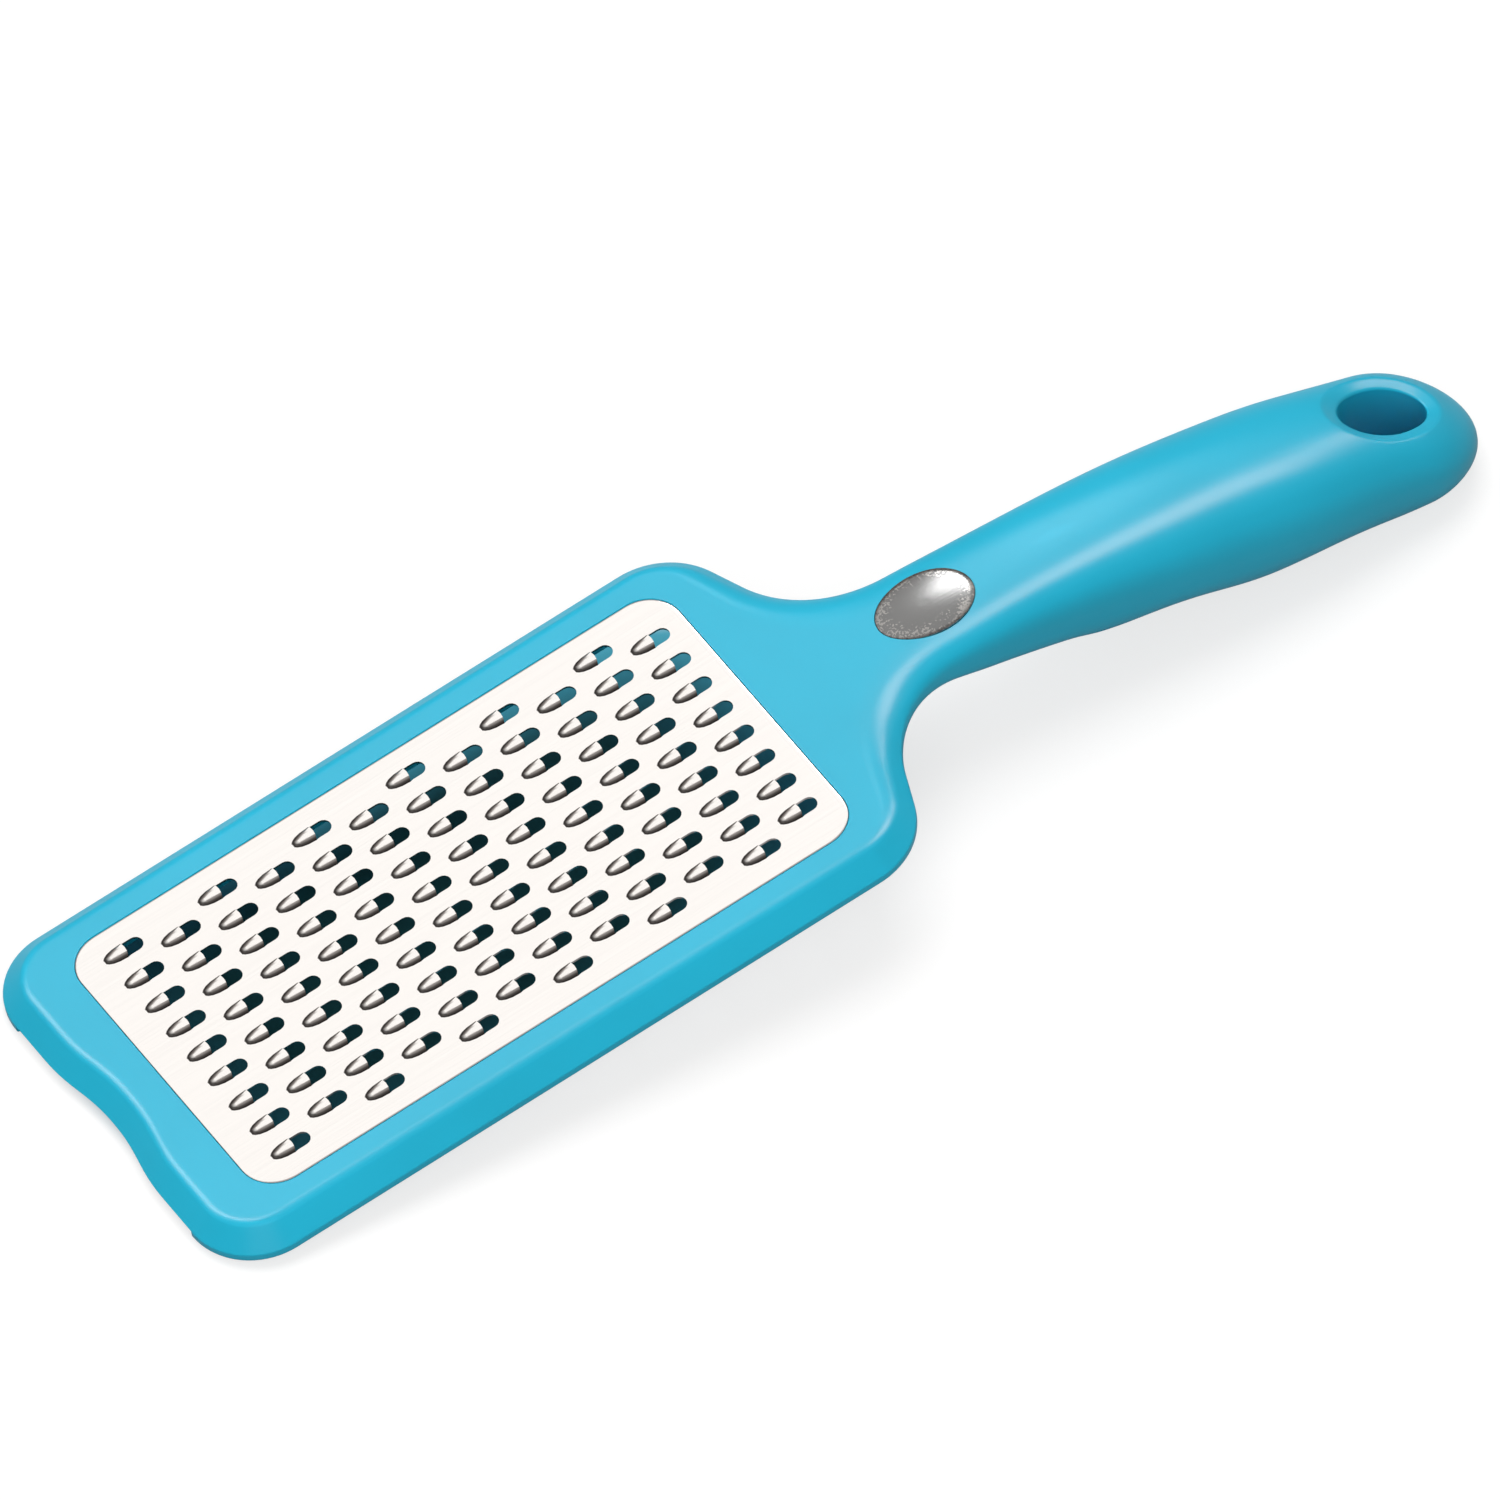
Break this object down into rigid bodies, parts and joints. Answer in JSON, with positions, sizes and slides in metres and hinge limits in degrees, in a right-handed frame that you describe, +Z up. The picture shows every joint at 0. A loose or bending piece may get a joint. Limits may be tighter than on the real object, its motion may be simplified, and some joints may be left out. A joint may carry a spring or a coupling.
{
  "type": "angled grater",
  "caption": "Hand-held paddle grater: a pierced steel plate with staggered hooded teeth in a moulded frame, with a bent ergonomic handle and a hang hole.",
  "frame": {"origin": "middle of the bounding box on the table that the grater rests on", "axes": "+X from the nose to the handle's end, +Z up from the table, the plate tilted so that nose and handle end both touch it"},
  "size_m": [0.264, 0.0764, 0.0289],
  "materials": {
    "frame_plastic": "gloss turquoise moulding",
    "cover_plastic": "gloss turquoise moulding",
    "plate_steel": "bright stamped stainless sheet",
    "ring_plastic": "satin turquoise moulding",
    "badge_metal": "satin domed metal, bare"
  },
  "bodies": {
    "root": {"frame_body": "frame_plastic", "handle_back_cover": "cover_plastic", "grating_plate": "plate_steel", "plate_retainer": "ring_plastic", "oval_badge": "badge_metal"}
  },
  "joints": []
}
